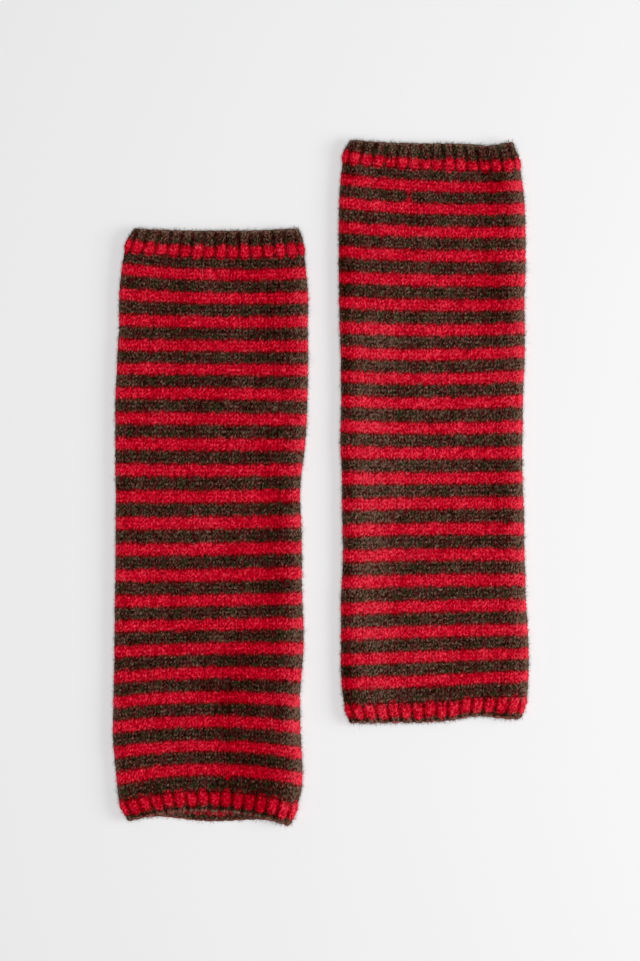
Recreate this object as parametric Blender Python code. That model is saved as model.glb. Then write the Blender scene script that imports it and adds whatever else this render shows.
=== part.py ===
# Pair of long fingerless gloves (arm warmers) in striped brushed wool, laid flat side by side.
# Each glove is one knitted tube, open at both ends: a plain striped body between two ribbed cuffs.
# Units are metres. +X runs across both gloves, +Y up them, and they lie on the plane Z = 0.

from collections import namedtuple
import math

import bmesh
import bpy
from mathutils import Vector

# Cloth and flat-laid tube
WALL = 0.0021             # one layer of brushed knit
FOLD_HEIGHT = 0.0066      # height of the soft fold along each side
MIDDLE_HEIGHT = 0.0052    # height of the two layers between the folds
FOLD_REACH = 0.016        # how far in from the side the fold's bulge is felt
SEAM_GAP = 0.0003         # between a cuff and the tube that it is knitted to

# Ribbed cuffs, knit one purl one
RIBS_ROUND = 31           # raised ribs all round a cuff
RIB_HEIGHT = 0.0010       # how far a rib stands out of the groove beside it
TOP_HEM_RIBS = 0.15       # the share of that height at the top hem, whose ribs are nearly flat
BOTTOM_EDGE_RIBS = 0.6    # and at the bottom edge
EDGE_ROUNDING = 0.0004    # the cast-on and cast-off edges are thinner than the cloth
EDGE_LENGTH = 0.0014

# Stripe lines, numbered down the glove from its top edge (0) to its bottom edge (47)
TOP_EDGE = 0
TOP_RIB_COLOUR_CHANGE = 1
BODY_START = 2
BODY_END = 45
BOTTOM_RIB_COLOUR_CHANGE = 46
BOTTOM_EDGE = 47

# Where the right glove's centre line and top edge lie, from those of the left one
RIGHT_GLOVE_ACROSS = 0.1266
RIGHT_GLOVE_UP = 0.0494

# One row for each stripe line that was measured: its distance down the glove at the middle, the
# side folds left and right of the glove's centre line, how far its right end drops (tilt), and how
# far both ends hang below its middle (bow).
Line = namedtuple("Line", "number down left right tilt bow")

LEFT_LINES = [
    Line(0, 0.0000, -0.0426, 0.0508, 0.0000, -0.0014),
    Line(1, 0.0084, -0.0456, 0.0527, 0.0008, -0.0022),
    Line(2, 0.0151, -0.0476, 0.0540, 0.0010, -0.0026),
    Line(5, 0.0348, -0.0504, 0.0558, 0.0010, -0.0016),
    Line(9, 0.0618, -0.0515, 0.0561, 0.0004, -0.0004),
    Line(13, 0.0886, -0.0530, 0.0560, 0.0006, 0.0002),
    Line(17, 0.1172, -0.0532, 0.0547, 0.0005, -0.0001),
    Line(21, 0.1466, -0.0529, 0.0518, -0.0002, -0.0005),
    Line(25, 0.1763, -0.0529, 0.0526, -0.0007, -0.0004),
    Line(29, 0.2055, -0.0532, 0.0530, -0.0008, -0.0006),
    Line(33, 0.2328, -0.0539, 0.0536, -0.0010, 0.0006),
    Line(37, 0.2601, -0.0543, 0.0516, -0.0004, 0.0026),
    Line(41, 0.2877, -0.0543, 0.0521, 0.0001, 0.0039),
    Line(44, 0.3080, -0.0523, 0.0525, 0.0002, 0.0057),
    Line(45, 0.3169, -0.0506, 0.0502, 0.0006, 0.0064),
    Line(46, 0.3255, -0.0465, 0.0468, 0.0012, 0.0066),
    Line(47, 0.3283, -0.0452, 0.0450, 0.0014, 0.0067),
]
RIGHT_LINES = [
    Line(0, 0.0000, -0.0468, 0.0452, 0.0003, -0.0015),
    Line(1, 0.0087, -0.0496, 0.0482, 0.0019, -0.0022),
    Line(2, 0.0149, -0.0512, 0.0495, 0.0020, -0.0022),
    Line(5, 0.0338, -0.0528, 0.0522, 0.0017, -0.0018),
    Line(9, 0.0602, -0.0534, 0.0526, 0.0012, -0.0013),
    Line(13, 0.0880, -0.0533, 0.0521, 0.0007, -0.0010),
    Line(17, 0.1161, -0.0525, 0.0518, -0.0001, -0.0016),
    Line(21, 0.1435, -0.0522, 0.0511, -0.0001, -0.0016),
    Line(25, 0.1717, -0.0522, 0.0507, 0.0001, -0.0008),
    Line(29, 0.1999, -0.0515, 0.0514, -0.0005, 0.0001),
    Line(33, 0.2288, -0.0511, 0.0518, -0.0004, 0.0006),
    Line(37, 0.2580, -0.0520, 0.0528, -0.0010, 0.0005),
    Line(41, 0.2865, -0.0522, 0.0542, -0.0017, 0.0001),
    Line(44, 0.3072, -0.0513, 0.0539, -0.0022, -0.0006),
    Line(45, 0.3156, -0.0501, 0.0532, -0.0022, -0.0008),
    Line(46, 0.3249, -0.0473, 0.0506, -0.0014, -0.0008),
    Line(47, 0.3271, -0.0460, 0.0483, -0.0009, -0.0005),
]

# Broad soft hollows (depth > 0) and swells (depth < 0) of the upper layer. Each runs from one stripe
# line to another, at a place across the glove from -1 (left fold) to 1 (right fold).
Crease = namedtuple("Crease", "first last across_first across_last half_width depth")

LEFT_CREASES = [
    Crease(-6, 18, 0.30, 0.62, 0.014, 0.0004),
    Crease(14, 50, 0.78, 0.42, 0.012, 0.0006),
    Crease(2, 30, -0.12, 0.05, 0.012, -0.0005),
    Crease(26, 46, -0.62, -0.50, 0.014, -0.0005),
]
RIGHT_CREASES = [
    Crease(-4, 24, 0.76, 0.70, 0.009, 0.0006),
    Crease(22, 50, 0.56, 0.40, 0.011, 0.0004),
    Crease(14, 48, -0.72, -0.66, 0.015, -0.0006),
]

# Slow waves in the lines near an open edge: the line and place across of each wave's middle, how far
# it is felt in lines and across, and how far the lines drop there.
Wave = namedtuple("Wave", "line across lines_felt across_felt drop")

LEFT_WAVES = []
RIGHT_WAVES = [Wave(0, 0.72, 1.5, 0.22, 0.0018), Wave(47, 0.52, 2.2, 0.30, -0.0028)]

# How far the under layer shows below the upper one at the middle of the bottom opening, and how
# sharply that falls away towards the folds
LEFT_UNDER_LAYER_SHOWS = 0.0058
RIGHT_UNDER_LAYER_SHOWS = 0.0
UNDER_LAYER_STARTS = 34   # stripe line from which the under layer runs longer
UNDER_LAYER_TAPER = 3

Glove = namedtuple("Glove", "name lines creases waves under_layer_shows across up")

GLOVES = [
    Glove("left", LEFT_LINES, LEFT_CREASES, LEFT_WAVES, LEFT_UNDER_LAYER_SHOWS, 0.0, 0.0),
    Glove(
        "right", RIGHT_LINES, RIGHT_CREASES, RIGHT_WAVES, RIGHT_UNDER_LAYER_SHOWS,
        RIGHT_GLOVE_ACROSS, RIGHT_GLOVE_UP,
    ),
]

# Faces round a ring: the tube body is coarser than a cuff, whose upper side carries ribs
BODY_TOP_FACES = 16
BODY_SIDE_FACES = 4
BODY_UNDER_FACES = 10
BODY_STATIONS = 20
CUFF_POINTS_PER_RIB = 4
CUFF_SIDE_RIBS = 2
CUFF_UNDER_FACES = 14

# sRGB colours of the two yarns
RED_YARN = (0.67, 0.07, 0.14)
BROWN_YARN = (0.23, 0.13, 0.10)


def smooth_step(start, end, value):
    """0 before start, 1 after end, with a smooth rise between them."""
    part = min(1.0, max(0.0, (value - start) / (end - start)))
    return part * part * (3.0 - 2.0 * part)


def slope_at(rows, index, column):
    """Slope of one column against the stripe number, from the rows on both sides."""
    before = rows[max(0, index - 1)]
    after = rows[min(len(rows) - 1, index + 1)]
    return (getattr(after, column) - getattr(before, column)) / (after.number - before.number)


def line_at(rows, number):
    """The row for any stripe number, on smooth curves through the measured rows."""
    index = 0
    while index < len(rows) - 2 and number > rows[index + 1].number:
        index += 1
    start, end = rows[index], rows[index + 1]
    span = end.number - start.number
    t = (number - start.number) / span
    values = []
    for column in Line._fields[1:]:
        leave = slope_at(rows, index, column) * span
        arrive = slope_at(rows, index + 1, column) * span
        values.append(
            (2 * t ** 3 - 3 * t ** 2 + 1) * getattr(start, column)
            + (t ** 3 - 2 * t ** 2 + t) * leave
            + (3 * t ** 2 - 2 * t ** 3) * getattr(end, column)
            + (t ** 3 - t ** 2) * arrive
        )
    return Line(number, *values)


def crease_drop(glove, number, x, line):
    """How far the upper layer lies below its plain height at this point."""
    middle = (line.left + line.right) / 2
    half = (line.right - line.left) / 2
    drop = 0.0
    for crease in glove.creases:
        along = (number - crease.first) / (crease.last - crease.first)
        if not 0.0 < along < 1.0:
            continue
        across = crease.across_first + (crease.across_last - crease.across_first) * along
        away = (x - middle - across * half) / crease.half_width
        drop += crease.depth * math.sin(math.pi * along) ** 0.7 * math.exp(-away * away)
    return drop


def wave_drop(glove, number, across):
    """How far a wave near an open edge moves this point down the glove."""
    drop = 0.0
    for wave in glove.waves:
        along, aside = (number - wave.line) / wave.lines_felt, (across - wave.across) / wave.across_felt
        drop += wave.drop * math.exp(-along * along - aside * aside)
    return drop


def top_height(glove, number, x, line):
    """Height of the upper layer's outer face: high at the side folds, low between them."""
    from_side = min(x - line.left, line.right - x) - FOLD_HEIGHT / 2
    bulge = 1.0 - smooth_step(0.0, FOLD_REACH, from_side)
    height = MIDDLE_HEIGHT + (FOLD_HEIGHT - MIDDLE_HEIGHT) * bulge
    return height - crease_drop(glove, number, x, line) * (1.0 - bulge)


def ring_places(line, top_faces, side_faces, under_faces):
    """Places round the tube, clockwise from the upper left: (x, turn), where turn is how far round
    the side fold the place lies, 0 on the upper layer and 1 on the under layer."""
    radius = FOLD_HEIGHT / 2
    start, end = line.left + radius, line.right - radius
    places = [(start + (end - start) * i / top_faces, 0.0) for i in range(top_faces)]
    places += [(end, i / side_faces) for i in range(side_faces)]
    places += [(end + (start - end) * i / under_faces, 1.0) for i in range(under_faces)]
    places += [(start, 1.0 - i / side_faces) for i in range(side_faces)]
    return places


def wall_ring(glove, line, faces, relief=None, shift=0.0, thinner=0.0):
    """Outer and inner points of one ring of the wall, at one stripe line.

    shift moves the ring down the glove. relief gives how far each outer point stands out, and
    thinner takes some of the wall away from both sides, for a rounded edge."""
    radius = FOLD_HEIGHT / 2
    middle = (line.left + line.right) / 2
    half = (line.right - line.left) / 2
    lower = glove.under_layer_shows * smooth_step(UNDER_LAYER_STARTS, BOTTOM_EDGE, line.number)
    outer, inner = [], []
    for index, (x, turn) in enumerate(ring_places(line, *faces)):
        side = 1.0 if x > middle else -1.0
        angle = math.pi * turn
        on_side = 0.0 < turn < 1.0
        raised = relief[index] if relief else 0.0
        if turn == 0.0:
            height = top_height(glove, line.number, x, line)
            out_x, out_z = x, height + raised - thinner
            in_x, in_z = x, height - WALL + thinner
        elif on_side:
            out_radius = radius + raised - thinner
            in_radius = radius - WALL + thinner
            out_x, out_z = x + side * out_radius * math.sin(angle), radius + out_radius * math.cos(angle)
            in_x, in_z = x + side * in_radius * math.sin(angle), radius + in_radius * math.cos(angle)
        else:
            out_x, out_z = x, 0.0
            in_x, in_z = x, WALL - thinner
        for points, px, pz in ((outer, out_x, out_z), (inner, in_x, in_z)):
            across = (px - middle) / half
            down = line.down + shift + line.tilt * across + line.bow * across * across
            down += lower * turn * max(0.0, 1.0 - across * across) ** UNDER_LAYER_TAPER
            down += wave_drop(glove, line.number, across)
            points.append(Vector((px, -down, pz)))
    return outer, inner


def rib_relief(side_faces, top_faces, under_faces):
    """Rib heights round a cuff: four points to a rib, fading out where the under layer lies flat."""
    profile = (0.0, 0.85, 1.0, 0.85)
    relief = []
    for index in range(top_faces + side_faces):
        fade = 1.0 if index < top_faces else 1.0 - (index - top_faces) / side_faces
        relief.append(RIB_HEIGHT * fade * profile[index % CUFF_POINTS_PER_RIB])
    relief += [0.0] * under_faces
    for index in range(side_faces):
        relief.append(RIB_HEIGHT * index / side_faces * profile[index % CUFF_POINTS_PER_RIB])
    return relief


def loft_wall(name, rings, glove, material):
    """A closed wall through rings of outer and inner points, joined at both open ends."""
    mesh = bpy.data.meshes.new(name)
    bm = bmesh.new()
    origin = Vector((glove.across, glove.up, 0.0))
    skins = []
    for side in (0, 1):
        skins.append([[bm.verts.new(point + origin) for point in ring[side]] for ring in rings])
    outer, inner = skins
    count = len(outer[0])
    for upper, lower in zip(outer, outer[1:]):
        for i in range(count):
            j = (i + 1) % count
            bm.faces.new((upper[i], upper[j], lower[j], lower[i]))
    for upper, lower in zip(inner, inner[1:]):
        for i in range(count):
            j = (i + 1) % count
            bm.faces.new((upper[j], upper[i], lower[i], lower[j]))
    for end in (0, -1):
        for i in range(count):
            j = (i + 1) % count
            bm.faces.new((outer[end][i], outer[end][j], inner[end][j], inner[end][i]))
    bmesh.ops.recalc_face_normals(bm, faces=bm.faces)
    bm.to_mesh(mesh)
    bm.free()
    mesh.shade_smooth()
    mesh.set_sharp_from_angle(angle=math.radians(40))
    mesh.materials.append(material)
    piece = bpy.data.objects.new(name, mesh)
    garment.objects.link(piece)
    return piece


def body_tube(glove, material):
    """The striped plain-knit body, between the two cuffs."""
    faces = (BODY_TOP_FACES, BODY_SIDE_FACES, BODY_UNDER_FACES)
    rings = []
    for station in range(BODY_STATIONS + 1):
        number = BODY_START + (BODY_END - BODY_START) * station / BODY_STATIONS
        shift = 0.0
        if station == 0:
            shift = SEAM_GAP / 2
        elif station == BODY_STATIONS:
            shift = -SEAM_GAP / 2
        rings.append(wall_ring(glove, line_at(glove.lines, number), faces, shift=shift))
    return loft_wall(glove.name + "_tube", rings, glove, material)


def cuff(glove, name, edge, colour_change, seam, edge_ribs, material):
    """A ribbed cuff from the glove's open edge to the body."""
    length = abs(line_at(glove.lines, seam).down - line_at(glove.lines, edge).down)
    widest = line_at(glove.lines, seam)
    rib_pitch = (2 * (widest.right - widest.left - FOLD_HEIGHT) + math.pi * FOLD_HEIGHT) / RIBS_ROUND
    top_ribs = round((widest.right - widest.left - FOLD_HEIGHT) / rib_pitch)
    faces = (top_ribs * CUFF_POINTS_PER_RIB, CUFF_SIDE_RIBS * CUFF_POINTS_PER_RIB, CUFF_UNDER_FACES)
    relief = rib_relief(faces[1], faces[0], faces[2])
    edge_relief = [edge_ribs * height for height in relief]
    inwards = 1.0 if seam > edge else -1.0
    near_edge = edge + (seam - edge) * EDGE_LENGTH / length
    rings = [
        wall_ring(glove, line_at(glove.lines, edge), faces, edge_relief, thinner=EDGE_ROUNDING),
        wall_ring(glove, line_at(glove.lines, near_edge), faces, edge_relief),
        wall_ring(glove, line_at(glove.lines, colour_change), faces, relief),
        wall_ring(glove, line_at(glove.lines, seam), faces, relief, shift=-inwards * SEAM_GAP / 2),
    ]
    if edge > seam:
        rings.reverse()
    return loft_wall(glove.name + name, rings, glove, material)


def yarn_material(name, colour):
    """A matt brushed yarn of one main colour."""
    material = bpy.data.materials.new(name)
    material.use_nodes = True
    shader = material.node_tree.nodes["Principled BSDF"]
    linear = [channel ** 2.2 for channel in colour]
    shader.inputs["Base Color"].default_value = (*linear, 1.0)
    shader.inputs["Roughness"].default_value = 0.95
    shader.inputs["Metallic"].default_value = 0.0
    return material


def centre_on_origin(pieces):
    """Moves the whole pair so that its box is centred above the origin."""
    corners = [piece.matrix_world @ Vector(corner) for piece in pieces for corner in piece.bound_box]
    middle_x = (min(c.x for c in corners) + max(c.x for c in corners)) / 2
    middle_y = (min(c.y for c in corners) + max(c.y for c in corners)) / 2
    for piece in pieces:
        piece.location = (-middle_x, -middle_y, 0.0)


for old in list(bpy.data.objects):
    bpy.data.objects.remove(old, do_unlink=True)

garment = bpy.data.collections.new("glove_pair")
bpy.context.scene.collection.children.link(garment)

striped = yarn_material("striped_body", RED_YARN)
dark_cuff = yarn_material("dark_cuff", BROWN_YARN)
red_cuff = yarn_material("red_cuff", RED_YARN)

made = []
for pair_half in GLOVES:
    made.append(cuff(
        pair_half, "_top_cuff", TOP_EDGE, TOP_RIB_COLOUR_CHANGE, BODY_START, TOP_HEM_RIBS, dark_cuff,
    ))
    made.append(body_tube(pair_half, striped))
    made.append(cuff(
        pair_half, "_bottom_cuff", BOTTOM_EDGE, BOTTOM_RIB_COLOUR_CHANGE, BODY_END, BOTTOM_EDGE_RIBS, red_cuff,
    ))
bpy.context.view_layer.update()
centre_on_origin(made)
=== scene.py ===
import math
from collections import namedtuple

import bpy
import numpy as np
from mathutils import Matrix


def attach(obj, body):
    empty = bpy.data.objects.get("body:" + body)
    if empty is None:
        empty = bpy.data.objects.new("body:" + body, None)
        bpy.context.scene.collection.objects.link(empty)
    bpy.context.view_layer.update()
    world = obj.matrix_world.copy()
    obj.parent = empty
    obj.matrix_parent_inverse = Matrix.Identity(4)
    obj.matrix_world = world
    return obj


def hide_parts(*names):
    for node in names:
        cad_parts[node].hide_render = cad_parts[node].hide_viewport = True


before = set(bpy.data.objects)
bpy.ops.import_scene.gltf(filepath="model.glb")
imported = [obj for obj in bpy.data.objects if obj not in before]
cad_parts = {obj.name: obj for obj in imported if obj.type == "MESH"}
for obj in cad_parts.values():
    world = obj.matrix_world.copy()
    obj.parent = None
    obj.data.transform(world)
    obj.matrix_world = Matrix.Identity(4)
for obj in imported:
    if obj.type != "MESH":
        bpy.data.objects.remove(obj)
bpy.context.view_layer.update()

# The knitted tubes
# Each glove is one tube of plain knit in brushed wool, worked in the round in red and dark brown
# stripes of three courses. It lies flat, its upper layer on its under layer, with soft side folds.

WALL = 0.0021             # one layer of brushed knit
FOLD_HEIGHT = 0.0066      # height of the soft fold along each side
MIDDLE_HEIGHT = 0.0052    # height of the two layers between the folds
FOLD_REACH = 0.016        # how far in from the side the fold's bulge is felt
WALES_ROUND = 62          # columns of stitches all round
STITCH_RISE = 0.40        # how far a stitch's legs climb from its middle to its side, in courses
BORDER_RISE = 0.25        # how much of that climb the colour change follows
SEAM_GAP = 0.00001        # the cuffs are knitted on to the tube
RIB_BULGE = 0.50          # how far each rib's red end bulges over the tube's dark stripe, in courses
RIB_BULGE_UNEVEN = 0.6    # how much that differs from rib to rib
RIB_BULGE_FADES = 2.5     # how far from the seam it is felt, in courses
CREASE_ENDS = 0.7         # how bluntly a crease runs out at its ends
PAINTED_PATCH_FADES = 2.0       # over how many stripes beside each of its ends a patch of painted light, shade or tone fades

# Stripe lines, numbered down the glove from its top edge (0) to its bottom edge (47), and the courses
# of stitches worked down to each. Stripes that start at an even line are dark brown.
StripeLine = namedtuple("StripeLine", "number courses")
STRIPE_LINES = [
    StripeLine(0, 0.0),       # top edge, dark hem
    StripeLine(1, 4.0),       # red band of the top cuff
    StripeLine(2, 7.0),       # plain tube
    StripeLine(45, 136.0),    # red band of the bottom cuff
    StripeLine(46, 140.0),    # thin dark cast-off edge
    StripeLine(47, 141.0),    # bottom edge
]
TOP_EDGE, BODY_START, BODY_END, BOTTOM_EDGE = 0, 2, 45, 47

# One row for each measured stripe line: its distance down the glove at the middle, the side folds left
# and right of the glove's centre line, how far its right end drops, and how far both ends hang.
Line = namedtuple("Line", "number down left right tilt bow")

LEFT_LINES = [
    Line(0, 0.0000, -0.0426, 0.0508, 0.0000, -0.0014),
    Line(1, 0.0084, -0.0456, 0.0527, 0.0008, -0.0022),
    Line(2, 0.0151, -0.0476, 0.0540, 0.0010, -0.0026),
    Line(5, 0.0348, -0.0504, 0.0558, 0.0010, -0.0016),
    Line(9, 0.0618, -0.0515, 0.0561, 0.0004, -0.0004),
    Line(13, 0.0886, -0.0530, 0.0560, 0.0006, 0.0002),
    Line(17, 0.1172, -0.0532, 0.0547, 0.0005, -0.0001),
    Line(21, 0.1466, -0.0529, 0.0518, -0.0002, -0.0005),
    Line(25, 0.1763, -0.0529, 0.0526, -0.0007, -0.0004),
    Line(29, 0.2055, -0.0532, 0.0530, -0.0008, -0.0006),
    Line(33, 0.2328, -0.0539, 0.0536, -0.0010, 0.0006),
    Line(37, 0.2601, -0.0543, 0.0516, -0.0004, 0.0026),
    Line(41, 0.2877, -0.0543, 0.0521, 0.0001, 0.0039),
    Line(44, 0.3080, -0.0523, 0.0525, 0.0002, 0.0057),
    Line(45, 0.3169, -0.0506, 0.0502, 0.0006, 0.0064),
    Line(46, 0.3255, -0.0465, 0.0468, 0.0012, 0.0066),
    Line(47, 0.3283, -0.0452, 0.0450, 0.0014, 0.0067),
]
RIGHT_LINES = [
    Line(0, 0.0000, -0.0468, 0.0452, 0.0003, -0.0015),
    Line(1, 0.0087, -0.0496, 0.0482, 0.0019, -0.0022),
    Line(2, 0.0149, -0.0512, 0.0495, 0.0020, -0.0022),
    Line(5, 0.0338, -0.0528, 0.0522, 0.0017, -0.0018),
    Line(9, 0.0602, -0.0534, 0.0526, 0.0012, -0.0013),
    Line(13, 0.0880, -0.0533, 0.0521, 0.0007, -0.0010),
    Line(17, 0.1161, -0.0525, 0.0518, -0.0001, -0.0016),
    Line(21, 0.1435, -0.0522, 0.0511, -0.0001, -0.0016),
    Line(25, 0.1717, -0.0522, 0.0507, 0.0001, -0.0008),
    Line(29, 0.1999, -0.0515, 0.0514, -0.0005, 0.0001),
    Line(33, 0.2288, -0.0511, 0.0518, -0.0004, 0.0006),
    Line(37, 0.2580, -0.0520, 0.0528, -0.0010, 0.0005),
    Line(41, 0.2865, -0.0522, 0.0542, -0.0017, 0.0001),
    Line(44, 0.3072, -0.0513, 0.0539, -0.0022, -0.0006),
    Line(45, 0.3156, -0.0501, 0.0532, -0.0022, -0.0008),
    Line(46, 0.3249, -0.0473, 0.0506, -0.0014, -0.0008),
    Line(47, 0.3271, -0.0460, 0.0483, -0.0009, -0.0005),
]

# Broad soft hollows (depth > 0) and swells (depth < 0) of the upper layer. Each runs from one stripe
# line to another, at a place across the glove from -1 (left fold) to 1 (right fold).
Crease = namedtuple("Crease", "first last across_first across_last half_width depth")

LEFT_CREASES = [
    Crease(-6, 18, 0.30, 0.62, 0.014, 0.0004),
    Crease(14, 50, 0.78, 0.42, 0.012, 0.0006),
    Crease(2, 30, -0.12, 0.05, 0.012, -0.0005),
    Crease(26, 46, -0.62, -0.50, 0.014, -0.0005),
]
RIGHT_CREASES = [
    Crease(-4, 24, 0.76, 0.70, 0.009, 0.0006),
    Crease(22, 50, 0.56, 0.40, 0.011, 0.0004),
    Crease(14, 48, -0.72, -0.66, 0.015, -0.0006),
]

# Slow waves in the lines near an open edge: the line and place across of each wave's middle, how far
# it is felt in lines and across, and how far the lines drop there.
Wave = namedtuple("Wave", "line across lines_felt across_felt drop")

LEFT_WAVES = []
RIGHT_WAVES = [Wave(0, 0.72, 1.5, 0.22, 0.0018), Wave(47, 0.52, 2.2, 0.30, -0.0028)]
UNDER_LAYER_STARTS = 34   # stripe line from which the left glove's under layer runs longer
UNDER_LAYER_TAPER = 3     # how sharply that falls away from the middle towards the folds

# Broad patches painted lighter or darker, each between two stripe lines, about a place across the glove, both
# as in the table above.
# Along the folds, crowns and hollows they are painted light and painted shade; the ones that run right across
# the glove near the cuffs make those stripes lighter or darker.
Brushed = namedtuple("Brushed", "first last across half_width lighter")

LEFT_PAINTED_LIGHT_AND_TONE = [
    Brushed(-3, 1, -0.10, 1.20, 0.13),
    Brushed(2, 3, 0.00, 1.50, -0.06),
    Brushed(-3, 1, -1.00, 0.12, 0.16),
    Brushed(-3, 1, 1.00, 0.16, 0.26),
    Brushed(3, 12, 0.55, 0.30, -0.10),
    Brushed(47, 60, 0.00, 1.50, 0.16),
    Brushed(44, 45, 0.00, 1.50, -0.05),
    Brushed(3, 46, -1.00, 0.05, 0.32),
    Brushed(16, 34, 0.67, 0.14, -0.12),
    Brushed(33, 47, 0.33, 0.26, -0.16),
    Brushed(42, 49, 0.62, 0.16, -0.12),
    Brushed(3, 46, 0.95, 0.10, 0.27),
    Brushed(3, 46, 1.00, 0.03, 0.35),
    Brushed(36, 47, 0.97, 0.10, 0.14),
]
RIGHT_PAINTED_LIGHT_AND_TONE = [
    Brushed(-4, 50, -0.20, 0.70, 0.045),
    Brushed(-3, 1, -0.20, 0.50, 0.16),
    Brushed(2, 3, 0.20, 1.20, -0.07),
    Brushed(-3, 1, -1.00, 0.12, 0.14),
    Brushed(14, 30, 0.15, 0.45, 0.08),
    Brushed(14, 46, -0.69, 0.24, 0.18),
    Brushed(0, 14, 0.68, 0.12, -0.08),
    Brushed(1, 46, 0.95, 0.11, 0.29),
    Brushed(1, 46, 1.00, 0.04, 0.56),
    Brushed(2, 44, -0.94, 0.07, -0.15),
    Brushed(2, 46, -1.00, 0.03, 0.30),
    Brushed(46, 60, 0.00, 1.50, 0.28),
    Brushed(44, 45, 0.10, 1.50, -0.08),
    Brushed(41, 49, -0.97, 0.10, -0.16),
]

# Single stitches where the red yarn was caught up over a dark stripe, by stripe line and place across
Caught = namedtuple("Caught", "line across reach half_width red")

LEFT_CAUGHT = [Caught(44.05, 0.20, 0.30, 0.028, 1.0)]
RIGHT_CAUGHT = [Caught(4.56, -0.25, 0.64, 0.036, 0.98)]

# Each glove also has how much lower its bottom cuff's red ribs start, in courses, how far its under layer
# shows below the upper one, and how far across and up from the left glove it lies
Glove = namedtuple("Glove", "name lines creases waves brushed caught rib_drop under_layer_shows across up")
GLOVES = [
    Glove("left", LEFT_LINES, LEFT_CREASES, LEFT_WAVES, LEFT_PAINTED_LIGHT_AND_TONE, LEFT_CAUGHT,
          rib_drop=0.12, under_layer_shows=0.0058, across=0.0, up=0.0),
    Glove("right", RIGHT_LINES, RIGHT_CREASES, RIGHT_WAVES, RIGHT_PAINTED_LIGHT_AND_TONE, RIGHT_CAUGHT,
          rib_drop=0.32, under_layer_shows=0.0, across=0.1266, up=0.0494),
]


def smooth_step(start, end, value):
    """0 before start, 1 after end, with a smooth rise between them."""
    part = np.clip((value - start) / (end - start), 0.0, 1.0)
    return part * part * (3.0 - 2.0 * part)


def lines_at(rows, number):
    """The table's columns after the first, at any stripe numbers, on smooth curves through its rows."""
    table = np.array(rows, dtype=float)
    knots = table[:, 0]
    last = len(knots) - 1
    before = np.maximum(np.arange(last + 1) - 1, 0)
    after = np.minimum(np.arange(last + 1) + 1, last)
    slopes = (table[after] - table[before]) / (knots[after] - knots[before])[:, None]
    index = np.clip(np.searchsorted(knots, number, side="right") - 1, 0, last - 1)
    span = (knots[index + 1] - knots[index])[..., None]
    t = (number - knots[index])[..., None] / span
    values = (2 * t ** 3 - 3 * t ** 2 + 1) * table[index]
    values += (t ** 3 - 2 * t ** 2 + t) * span * slopes[index]
    values += (3 * t ** 2 - 2 * t ** 3) * table[index + 1]
    values += (t ** 3 - t ** 2) * span * slopes[index + 1]
    return np.moveaxis(values, -1, 0)[1:]


def cloth_at(glove, number, place, depth):
    """Points of the cloth. place runs from 0 to 1 round the tube, from the left fold over the upper
    layer to the right fold and back underneath. depth is how far the point lies below the outer face."""
    number, place, depth = np.broadcast_arrays(number, place, depth)
    down, left, right, tilt, bow = lines_at(glove.lines, number)
    radius = FOLD_HEIGHT / 2
    quarter = math.pi * radius / 2
    run = right - left - FOLD_HEIGHT
    along = place * (2 * run + 4 * quarter)
    arc = radius - depth
    left_up = along / radius
    right_round = (along - quarter - run) / radius
    left_under = (along - 3 * quarter - 2 * run) / radius
    where = [along < quarter, along < quarter + run, along < 3 * quarter + run, along < 3 * quarter + 2 * run]
    x = np.select(where, [
        left + radius - arc * np.cos(left_up),
        left + radius + along - quarter,
        right - radius + arc * np.sin(right_round),
        right - radius - (along - 3 * quarter - run),
    ], left + radius - arc * np.sin(left_under))
    middle, half = (left + right) / 2, (right - left) / 2
    across = (x - middle) / half
    bulge = 1.0 - smooth_step(0.0, FOLD_REACH, half - np.abs(x - middle) - radius)
    drop = np.zeros_like(x)
    for crease in glove.creases:
        part = np.clip((number - crease.first) / (crease.last - crease.first), 0.0, 1.0)
        place_across = crease.across_first + (crease.across_last - crease.across_first) * part
        away = (x - middle - place_across * half) / crease.half_width
        drop += crease.depth * np.abs(np.sin(math.pi * part)) ** CREASE_ENDS * np.exp(-away * away)
    top = MIDDLE_HEIGHT + (FOLD_HEIGHT - MIDDLE_HEIGHT) * bulge - drop * (1.0 - bulge)
    z = np.select(where, [
        radius + arc * np.sin(left_up),
        top - depth,
        radius + arc * np.cos(right_round),
        depth,
    ], radius - arc * np.cos(left_under))
    turn = np.select(where, [
        0.5 - left_up / math.pi,
        np.zeros_like(x),
        right_round / math.pi,
        np.ones_like(x),
    ], 1.0 - left_under / math.pi)
    lower = glove.under_layer_shows * smooth_step(UNDER_LAYER_STARTS, BOTTOM_EDGE, number)
    lower = lower * turn * np.maximum(0.0, 1.0 - across ** 2) ** UNDER_LAYER_TAPER
    y = down + tilt * across + bow * across ** 2 + lower
    for wave in glove.waves:
        along, aside = (number - wave.line) / wave.lines_felt, (across - wave.across) / wave.across_felt
        y = y + wave.drop * np.exp(-along ** 2 - aside ** 2)
    return np.stack([x + glove.across, glove.up - y, z], axis=-1)


def place_across(glove, number, place):
    """Where a place round the tube lies across the glove, from -1 (left fold) to 1 (right fold)."""
    x = cloth_at(glove, number, place, 0.0)[..., 0] - glove.across
    left, right = lines_at(glove.lines, np.broadcast_to(number, x.shape))[1:3]
    return 2.0 * (x - left) / (right - left) - 1.0


def painted_light_and_tone_at(glove, number, across):
    """How much lighter each point is painted: painted light and shade on the folds, crowns and hollows, and
    lighter or darker stripes near the cuffs.
    """
    shade = np.zeros(np.broadcast(number, across).shape)
    for patch in glove.brushed:
        ends = smooth_step(patch.first - PAINTED_PATCH_FADES, patch.first + PAINTED_PATCH_FADES, number)
        ends = ends * (1.0 - smooth_step(patch.last - PAINTED_PATCH_FADES, patch.last + PAINTED_PATCH_FADES, number))
        away = (across - patch.across) / patch.half_width
        shade += patch.lighter * ends * np.exp(-away * away)
    return shade


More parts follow.
